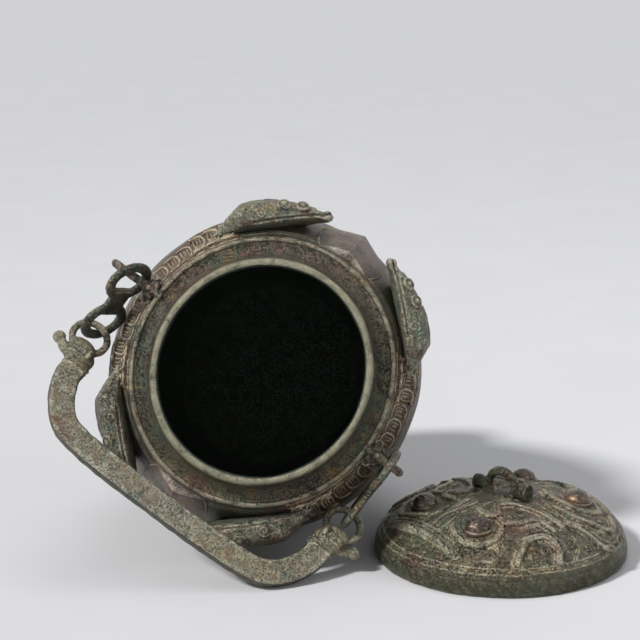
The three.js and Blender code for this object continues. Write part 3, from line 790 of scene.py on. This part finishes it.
rings = np.concatenate([ridge_point(x, shares, lift), ridge_point(x, shares, np.full_like(lift, -1.8))[:, ::-1]], 1)
bead = gathered([ball((0, 0, 0), 0.85, steps=4)])
for name, front in (("upper", 1), ("lower", -1)):
    roof = closed(worked(mesh_of(*skinned(rings * [1, front, 1])), [], 50, rough=0.08, grain=7))
    points, _, _ = read(roof)
    level = np.clip((shelf_height - points[:, 2]) / shoulder_height, 0, 1)
    stand = np.hypot(points[:, 0] / ovality, points[:, 1]) - shoulder(level, 0)[0]
    mark(roof, "rim", 1 - step(stand, 0.4, 3.4))
    placed(roof, f"ridge_roof_{name}", lying, "vessel", "red_bronze", ridge_finish, f"ridge_{name}")
stations = []
for front in (1, -1):
    for side in (1, -1):
        for share in np.linspace(0.06, 0.86, 30):
            _, half = ridge_lift(0.0, share)
            at, beyond = (ridge_point(side * half * 0.97, share, t) * [1, front, 1] for t in (0.25, 1.25))
            stations.append((at, beyond - at, np.array([0.01, 0, 1]), (1, 1, 0.8)))
beads = strewn(bead, stations, snake_finish)
placed(beads, "ridge_beads", lying, "vessel", "red_bronze", snake_finish)

# Links: two figure-8 links, each cast in one, that hang the bail on the ears.
# Dark bronze, rubbed bright where the eyes bear, with two cords round the waist and turquoise in their hollows.
link_finish = patina(
    "link_patina", (44, 47, 40), (106, 104, 88), (66, 92, 82), (190, 180, 154), (80, 116, 104),
    [((-140, -70, 165), 34, (66, 110, 98), 0.75)], wear=1.0, crust=1.0, gloss=0.44,
)
eye_low, eye_high, eye_radius, eye_wire = 5.4, 42.7, 12.8, [3.8, 2.8]
waist_middle = (eye_low + eye_high) / 2
link_reach, link_lean, link_pitch = 111.0, 117, 48.5
for name, side, twist in (("right", 1, 0), ("left", -1, 28)):
    shapes = []
    for height in (eye_low, eye_high):
        shapes.append(hoop((0, 0, height), (eye_radius * 1.2, eye_radius), [eye_wire] * 80, (1, 0, 0), 20, 80))
    neck = spaced([(0, 0, waist_middle - 10.5), (0, 0, waist_middle + 10.5)], 30)
    bulge = 0.9 + 0.36 * ((neck[:, 2] - waist_middle) / 10.5) ** 2
    shapes.append(bar(neck, np.column_stack([9.2 * bulge, np.full(30, 3.0)]), (1, 0, 0), 32, squareness=0.6))
    for offset in (-2.6, 2.6):
        shapes.append(hoop((0, 0, waist_middle + offset), (8.4, 2.7), 0.85, (0, 0, 1), 10, 48))
    link = fused(shapes, 0.42, 2)
    worked(link, [], 60, rough=0.1, grain=5)
    where = hung(lying, (side * link_reach - 1.5, 0, ear_top), turn_about("x", link_lean) @ turn_about("z", twist))
    placed(link, f"link_eyes_{name}", where, f"link_{name}", "bronze", link_finish, f"link_{name}")

# Bail bar: the flat, angular swing handle, cast in one with the heads at its ends.
# Worn pale grey-green on its broad faces, with raised edges, ochre and lilac specks, and a dark band along its sides.
lean = np.radians(link_lean)
bail_pivot = (-1.5, -link_pitch * np.sin(lean), ear_top + link_pitch * np.cos(lean))
swinging = hung(lying, bail_pivot, turn_about("x", 62.34479))
bail_zones = [
    ((-200, -90, 120), 60, (128, 126, 106), 0.5), ((-60, -140, 30), 50, (152, 138, 100), 0.5),
    ((-150, -120, 40), 55, (134, 124, 126), 0.45), ((-220, -70, 160), 40, (98, 112, 90), 0.5),
]
bail_finish = patina(
    "bail_patina", (122, 121, 104), (192, 186, 165), (152, 156, 138), (218, 212, 190), (122, 98, 70), bail_zones,
    wear=0.7, crust=0.8, gloss=0.46, metal=0.35, masks=[("side", (48, 46, 38), 0.85)],
)
ring_top = 11.6
bail_corners = [(0, 25.1), (0, 31.1), (2, 39.1), (9, 52), (20, 62.5), (36, 67)]
left_arm = [(5 + inward - link_reach, 0, depth) for inward, depth in bail_corners]
line = flowing(left_arm + [(-x, 0, z) for x, _, z in left_arm[::-1]], 330)
along = np.gradient(line, axis=0)
along /= np.linalg.norm(along, axis=1)[:, None]
across = np.column_stack([along[:, 2], np.zeros(len(line)), -along[:, 0]])
turn = np.linspace(0, 2 * np.pi, 72, endpoint=False)
broad = np.sign(np.cos(turn)) * np.abs(np.cos(turn)) ** 0.32 * 9.2
thick = np.sign(np.sin(turn)) * np.abs(np.sin(turn)) ** 0.42 * 4.45
thick -= np.sign(thick) * 0.75 * np.exp(-((broad / 6.2) ** 6)) * (np.abs(thick) > 2)
wander = 1 + 0.02 * np.sin(np.linspace(0, 21, len(line)) + 0.7)
rings = line[:, None] + (across * wander[:, None])[:, None] * broad[None, :, None]
rings = rings + np.array([0, 1.0, 0]) * thick[None, :, None] + [0, 0, ring_top]
bail = mesh_of(*skinned(rings))
worked(closed(bail), [], 70, rough=0.16, grain=11)
points, _, _ = read(bail)
gap = points - [0, 0, ring_top]
nearest = np.argmin(np.linalg.norm(gap[:, None, [0, 2]] - line[None, ::6][:, :, [0, 2]], axis=2), axis=1) * 6
sideways = np.abs(np.sum((gap - line[nearest]) * across[nearest], 1))
mark(bail, "side", step(sideways, 8.3, 8.9))
placed(bail, "bail_grip", swinging, "bail", "pale_bronze", bail_finish, "bail_bar")

# Bail heads: an animal's head at each end of the bail, whose jaws hold the ring that turns in the link.
# Cast with the bar: brows, round eyes, small ears, a horn that stands out to the side and a collar behind.
face_finish = patina(
    "face_patina", (88, 86, 70), (172, 164, 138), (122, 128, 106), (214, 206, 180), (114, 90, 62),
    [((-190, -40, 200), 40, (84, 104, 84), 0.6)], wear=1.0, gloss=0.46, metal=0.35,
)
shapes = [
    hoop((0, 0, 0), (ring_top * 1.1, ring_top), [[2.55, 3.1]] * 72, (0, 1, 0), 18, 72),
    ball((-0.5, 0, 9.6), (11.0, 6.4, 6.6)),
    ball((-2.5, 0, 16.4), (12.2, 8.8, 8.4)), ball((-1.5, 0, 12.2), (7.6, 6.2, 4.6)), ball((-5, 0, 21), (9.3, 5.2, 5)),
    bar(flowing([(4, 0, 17.5), (9, 0, 17.2), (13, 0, 15), (16, 0, 13)], 20), np.linspace(4.2, 3.4, 20), (0, 1, 0), 16),
    ball((17, 0, 12.8), 4.6),
    bar(spaced([(-5, 0, 16), (-5, 0, 24.6)], 8), [[9.2, 4.4]] * 8, (0, 1, 0), 40, squareness=0.4),
    hoop((-5, 0, 25.2), (4.6, 9.2), 1.0, (0, 0, 1), 12, 60), hoop((-5, 0, 22.2), (5.0, 9.4), 1.0, (0, 0, 1), 12, 60),
]
for y in (-1, 1):
    brow = flowing([(7.5, y * 3.4, 17.6), (3, y * 7.2, 18), (-3, y * 7.6, 17.4), (-6.5, y * 6, 18.6)], 24)
    shapes += [
        ball((3.2, y * 6.0, 14.6), 2.5), hoop((3.4, y * 6.8, 14.6), 2.5, 0.75, (0.25, y, 0), 10, 32),
        ball((-8.6, y * 6.4, 13.6), (2.2, 3.0, 4.4), turn_about("x", -y * 24)), bar(brow, 1.15, (0, 0, 1), 10),
        ball((-2.6, y * 5.0, 10.4), (2.4, 1.8, 1.8)), ball((2.2, y * 4.6, 9.6), (1.9, 1.5, 1.5)),
    ]
lines = []
for y in (-1, 1):
    lines.append((spiral((-3.2, y * 7.9, 14.2), 2.6, 1.3, np.array([1.0, 0, 0]), np.array([0, 0, 1.0]), y), 0.55, 0.6))
    lines.append((flowing([(6, y * 5, 11.4), (0, y * 6.6, 11.4), (-7, y * 5.6, 12)], 16), -0.7, 0.55))
face = worked(fused(shapes, 0.42, 2), lines, 80, rough=0.1, grain=5)
for name, side in (("right", 1), ("left", -1)):
    copy = closed(moved(face.copy(), np.diag([side, 1, 1]), (link_reach, 0, ring_top)))
    placed(copy, f"bail_face_{name}", swinging, "bail", "pale_bronze", face_finish, f"bail_head_{name}")

# Lid: a shallow dome with a plain band round its rim, which fits over the vessel's neck.
# One casting: each half shows a mask in raised bands and fine curls, with pale deposits left in its hollows.
lid_at = (turn_about("z", -55), np.array([113.67338, -59.37394, 0]))
lid_zones = [
    ((70, -105, 28), 26, (66, 104, 90), 0.7), ((50, -90, 12), 45, (92, 100, 64), 0.5),
    ((100, -135, 20), 40, (108, 86, 60), 0.5), ((150, -110, 30), 45, (112, 98, 94), 0.45),
    ((180, -60, 25), 45, (106, 76, 62), 0.5), ((130, -60, 42), 40, (90, 96, 80), 0.5),
]
lid_finish = patina(
    "lid_patina", (42, 39, 31), (122, 112, 94), (80, 90, 70), (194, 186, 162), (180, 162, 130), lid_zones,
    wear=0.7, crust=0.9, gloss=0.38, metal=0.5, masks=[("band", (58, 60, 42), 0.75)],
)
lid_radius, lid_rim, lid_height = 92.0, 12.0, 43.0


def dome(x, y):
    """Height of the lid's outside at a place on it."""
    share = np.minimum(np.hypot(x / (lid_radius * ovality), y / lid_radius), 1)
    return lid_rim + (lid_height - lid_rim) * (1 - share**2.6) ** 0.75


def arch(radius, low, rise, count):
    share = np.cos(np.linspace(0, np.pi / 2, 240))
    return spaced(np.column_stack([radius * share, low + rise * (1 - share**2.6) ** 0.75]), count)


lid_profile = np.vstack([
    spaced([(88.4, 0), (91.6, 0), (92.3, 0.7), (93, 3), (93.1, 6), (92.9, 9), (92.3, 11.2), (91.6, 12.2)], 22),
    arch(91.6, 12.4, 30.6, 134), arch(88, 8, 31, 36)[::-1][1:], [(88, 6), (88, 3), (88.4, 0)],
]) * [faceting, 1]
lid = turned(lid_profile, 490, lid_finish)
points, _, normals = read(lid)
plan = np.column_stack([np.abs(points[:, 0]), points[:, 1]])
outside = points[:, 2] > dome(points[:, 0], points[:, 1]) - 1.6


def ribbon(corners, height, half):
    """A raised flat band with round shoulders along a smooth line."""
    away = off_line(plan, flowing(corners, max(12, len(corners) * 7)))
    return height * (1 - step(away, half * 0.62, half * 1.1)) - 0.35 * np.exp(-(((away - half * 1.35) / 0.7) ** 2))


def thread(corners):
    """A fine raised line along a smooth line."""
    away = off_line(plan, flowing(corners, max(12, len(corners) * 7)))
    return 0.75 * np.exp(-((away / 0.75) ** 2))


broad_bands = [
    ([(14, -33), (22, -34), (27, -28), (22, -24), (17, -19), (20, -10), (31, -3), (44, 2), (58, 4)], 1.7, 2.7),
    ([(30, -29), (38, -30), (43, -23), (45, -13), (48, -7), (60, -5)], 1.5, 2.3),
    ([(67, -44), (63, -37), (59, -28), (60, -18), (65, -12), (73, -12), (79, -17)], 1.5, 2.6),
    ([(57, 9), (62, 16), (71, 21), (77, 27), (77, 36)], 1.5, 2.2),
    ([(2, -66), (-1, -54), (2, -42), (4, -28)], 1.3, 2.2),
    ([(12, 30), (20, 26), (30, 27), (42, 32), (47, 42), (44, 54), (32, 60)], 1.5, 2.4),
    ([(48, 60), (58, 54), (64, 44), (60, 34), (50, 22), (38, 16)], 1.4, 2.2),
    ([(14, -58), (24, -62), (36, -62), (44, -55), (46, -44), (42, -36)], 1.4, 2.2),
]
fine_lines = [
    [(67, -49), (77, -36), (83, -20)], [(70, -52), (80, -38), (84, -24)], [(37, -33), (47, -25), (50, -13), (60, -10)],
    [(52, -62), (57, -56), (55, -50), (49, -50), (46, -58)], [(37, -42), (44, -36), (50, -38), (56, -34)],
    [(60, 25), (69, 27), (74, 36)], [(54, 14), (60, 22), (66, 32), (66, 44)], [(8, -70), (10, -59), (8, -48), (8, -38)],
    [(20, 18), (30, 14), (42, 12), (52, 14)], [(8, 68), (10, 57), (6, 46), (4, 36)],
    [(16, 66), (26, 68), (38, 66), (50, 62)],
    [(9, -24), (10, -14), (12, -2), (10, 10), (8, 24)], [(26, 8), (36, 8), (46, 10)], [(68, 6), (76, 4), (82, -4)],
]
relief = sum(ribbon(*band) for band in broad_bands) + sum(thread(corners) for corners in fine_lines)
reach = np.hypot(points[:, 0] / ovality, points[:, 1])
for cord in (86.5, 89.5):
    relief += 0.5 * np.exp(-(((reach - cord) / 0.6) ** 2))
relief = np.minimum(relief * 1.35, 2.9) * (1 - step(reach, 88.5, 91))
pitted = ripples(points, 40, 90) * 0.2 + ripples(points, 9, 91) * 0.13 + ripples(points, 3.4, 92) * 0.05
write(lid, points + normals * (pitted + relief * outside)[:, None])
mark(lid, "band", 1 - step(points[:, 2], 11, 19))
placed(lid, "lid_dome", lid_at, "lid", "lid_bronze", lid_finish, "lid_shell")

# Curls: small square spirals that fill the ground between the lid's bands.
# They were stamped in the mould, so all are alike, and their lines stand about half a millimetre high.
square_curl = [
    (-2.6, -2.6), (2.6, -2.6), (2.6, 2.6), (-1.7, 2.6), (-1.7, -1.5), (1.5, -1.5), (1.5, 1.4), (-0.5, 1.4),
    (-0.5, -0.3),
]
curl = gathered([flat_line(square_curl, 0.36, 0.5)])


def on_lid(x, y, lift=0.0):
    h = 0.5
    slope = np.array([(dome(x - h, y) - dome(x + h, y)) / (2 * h), (dome(x, y - h) - dome(x, y + h)) / (2 * h), 1])
    out = slope / np.linalg.norm(slope)
    return np.array([x, y, dome(x, y)]) + out * lift, out


stations = []
for x, y, turn, size in (
    (70, -22, 30, 1.25), (73.5, -31, 60, 1.0), (68, -28, 60, 0.8), (36, -12, 10, 0.9), (54, -17, 20, 0.85),
    (34, -20, 0, 0.8), (72, 1, 80, 1.2), (76.5, 12, 80, 0.9), (52, 26, 40, 0.85), (55, 45, 40, 0.9), (36, 24, 0, 0.7),
    (22, 38, 0, 0.9), (13, 48, 0, 0.9), (20, 58, 0, 0.9), (56, -40, 40, 1.0), (62, -52, 40, 0.85), (18, -44, 0, 0.8),
    (50, -67, 30, 0.8), (70, 46, 60, 0.9), (66, 56, 50, 0.9), (17, 12, 0, 0.9), (17, 1, 0, 0.8),
):
    for side in (1, -1):
        at, out = on_lid(side * x, y, 0.15)
        way = np.array([np.cos(np.radians(turn)) * side, np.sin(np.radians(turn)), 0])
        stations.append((at, out, way, (size, size * side, size)))
curls = strewn(curl, stations, lid_finish)
placed(curls, "lid_curls", lid_at, "lid", "lid_bronze", lid_finish)

# Mask eyes: four round bosses, two for each mask, cast on the lid.
# Smooth, dark and shiny, with a shallow ring cut round the top and a low rim at the foot.
eye_finish = patina(
    "eye_patina", (42, 35, 30), (84, 72, 62), (76, 66, 66), (160, 146, 130), (104, 90, 70),
    wear=0.5, gloss=0.27, metal=0.6, pitting=0.3,
)
for i, (side, front) in enumerate(quarters):
    rise = np.linspace(0, np.pi / 2, 40)[1:-1]
    ring_cut = 0.4 * np.exp(-(((rise - 1.08) / 0.07) ** 2))
    outline = [(10.1, -3.5), (10.6, -0.4), (10.3, 0.5), (9.5, 0.7), (9.1, 0.5)]
    outline += list(zip(9.0 * np.cos(rise), 0.6 + 6.8 * np.sin(rise) - ring_cut))
    turn = np.linspace(0, 2 * np.pi, 64, endpoint=False)
    rings = [[(r * np.cos(a), r * np.sin(a), z) for a in turn] for r, z in outline]
    boss = closed(mesh_of(*skinned(rings)))
    at, out = on_lid(side * 29.0, front * 47.0)
    lean = (out + [0, 0, 2.0]) / np.linalg.norm(out + [0, 0, 2.0])
    first = np.cross((0, 1, 0), lean)
    first /= np.linalg.norm(first)
    worked(moved(boss, [first, np.cross(lean, first), lean], then=at), [], 100 + i, rough=0.1, grain=6)
    placed(boss, f"mask_eye_{i + 1}", lid_at, "lid", "red_bronze", eye_finish, f"lid_eye_{i + 1}")

# Mask jaws: a straight raised ridge near the rim at each end of the lid, under the eyes.
# Cast on, and worn round along its crest, with a finer line beside it.
jaw_half = 41.5
for i, front in enumerate((-1, 1)):
    rings = []
    for x in np.linspace(-jaw_half, jaw_half, 130):
        fade = np.sqrt(max(0.0, 1 - (abs(x) / jaw_half) ** 6))
        section = []
        for s in np.linspace(-1, 1, 22):
            y = 71.2 + 4.6 * s * max(fade, 0.2)
            groove = 1.3 * np.exp(-(((s + 0.2) / 0.16) ** 2))
            bulge = (4.0 * (1 - s**6) - groove) * fade * (1 - 0.3 * abs(x) / jaw_half)
            section.append((x * ovality, front * y, dome(x * ovality, y) + bulge - 0.15))
        section += [(px, py, pz - 3.2) for px, py, pz in section[::-1]]
        rings.append(section)
    jaw = closed(mesh_of(*skinned(rings)))
    worked(jaw, [], 110 + i, rough=0.14, grain=7)
    placed(jaw, f"mask_jaw_{i + 1}", lid_at, "lid", "lid_bronze", lid_finish, f"lid_jaw_{2 - i}")

# Knob: a half-round loop over the middle of the lid, with a stub left at each side.
# Cast on as a thick bent wire, dark brown-green, worn thin at its top, with flattened and streaked ends.
knob_finish = patina(
    "knob_patina", (32, 34, 26), (76, 70, 54), (54, 66, 50), (152, 144, 118), (118, 98, 68), wear=0.85, gloss=0.4,
)
bow = [(11.5 * np.cos(a), 0.5 * np.sin(3 * a), 48.5 + 11.3 * np.sin(a)) for a in np.linspace(-0.45, np.pi + 0.45, 50)]
wire = 3.0 + 0.35 * np.cos(np.linspace(0, 2 * np.pi, 50)) ** 2
stub, short_stub = [4.6, 5.2, 6.2, 6.4, 5.6], [4.2, 4.6, 5.2, 5.2, 4.4]
shapes = [
    bar(bow, wire, (0, 1, 0), 18), ball((11.8, 0, 44.4), (5, 5.4, 4.4)), ball((-11.8, 0, 44.4), (4.6, 5, 4.2)),
    bar([(12, 0, 47), (15, 0, 48), (19, 0, 48.4), (22.4, 0, 48.4), (23.4, 0, 48.4)], stub, (0, 0, 1), 30),
    bar([(-12, 0, 47), (-15, 0, 47.6), (-19, 0, 48), (-22.4, 0, 48), (-23.2, 0, 48)], short_stub, (0, 0, 1), 30),
    ball((0, 0, 41.6), (17, 9, 3.2), steps=18),
]
streaks = [([(23.4, y, 44), (23.6, y + 0.6, 52.6)], -0.5, 0.45) for y in (-3.4, -1.2, 1.1, 3.2)]
for k in range(4):
    height = 58.2 - abs(k - 1.5) * 1.6
    streaks.append(([(-6 + 4 * k, -3, height), (-6 + 4 * k, 3, height + 0.4)], -0.35, 0.5))
knob = worked(fused(shapes, 0.45, 2), streaks, 120, rough=0.15, grain=5)
knob_at = hung(lid_at, (0, 0, 0), turn_about("z", 14))
placed(knob, "lid_loop", knob_at, "lid", "bronze", knob_finish, "lid_knob")

# Studio: a pale floor, soft lamps at a plain level and the camera at the photograph's height and angle.
# None of it belongs to the object.
floor = bpy.data.objects.new("floor", mesh_of([(-30, -30, 0), (30, -30, 0), (30, 30, 0), (-30, 30, 0)], [(0, 1, 2, 3)]))
bpy.context.scene.collection.objects.link(floor)
paper = bpy.data.materials.new("paper")
paper.use_nodes = True
tree = paper.node_tree
tree.nodes.clear()
spot = node(tree, "ShaderNodeTexCoord").outputs["Object"]
grain = node(tree, "ShaderNodeTexNoise", None, {"Vector": spot, "Scale": 9.0})
tone = blended(tree, Value(grain.outputs[0]).between(0.3, 0.7), shade(208, 208, 210), shade(210, 210, 212))
sheet = node(tree, "ShaderNodeBsdfPrincipled", None, {"Base Color": tone, "Roughness": 0.85})
tree.links.new(sheet.outputs[0], node(tree, "ShaderNodeOutputMaterial").inputs[0])
floor.data.materials.append(paper)

world = bpy.data.worlds.new("studio")
world.use_nodes = True
tree = world.node_tree
tree.nodes.clear()
rays = node(tree, "ShaderNodeLightPath").outputs
seen = Value(rays["Is Camera Ray"]).maths("MAXIMUM", rays["Is Camera Ray"], rays["Is Glossy Ray"])
seen = seen.maths("MAXIMUM", seen, rays["Is Transmission Ray"])
behind = node(tree, "ShaderNodeBackground", None, {"Color": shade(226, 226, 228), "Strength": 1.0})
light = node(tree, "ShaderNodeBackground", None, {"Color": (0.95, 0.97, 1.0, 1.0), "Strength": 0.3})
either = node(tree, "ShaderNodeMixShader", None, {0: seen, 1: light.outputs[0], 2: behind.outputs[0]})
tree.links.new(either.outputs[0], node(tree, "ShaderNodeOutputWorld").inputs[0])
bpy.context.scene.world = world

lamps = {
    "overhead": ("AREA", (0.1, 0.25, 1.7), (0, 0, 0.08), 0.9, 5),
    "left": ("SUN", (-1.5, -0.7, 1.5), (0, 0, 0), 0.14, 3.1),
    "right": ("AREA", (1.4, -0.6, 0.7), (0, -0.05, 0.1), 0.8, 4),
}
for name, (kind, place, aim, size, power) in lamps.items():
    lamp = bpy.data.lights.new(name, kind)
    lamp.energy = power
    if kind == "SUN":
        lamp.angle = size
    else:
        lamp.shape, lamp.size = "DISK", size
    holder = bpy.data.objects.new(name, lamp)
    holder.location = place
    holder.rotation_euler = (Vector(aim) - Vector(place)).to_track_quat("-Z", "Y").to_euler()
    bpy.context.scene.collection.objects.link(holder)

camera = bpy.data.objects.new("camera", bpy.data.cameras.new("camera"))
camera.data.sensor_width = 36
camera.data.lens = 92.5875
camera.data.clip_end = 100
camera.location = (-0.01693, -1.17717, 0.45)
camera.rotation_euler = (np.radians(90 - 14), 0, 0)
bpy.context.scene.collection.objects.link(camera)
bpy.context.scene.camera = camera
bpy.context.scene.view_settings.view_transform = "Standard"

bpy.context.view_layer.update()
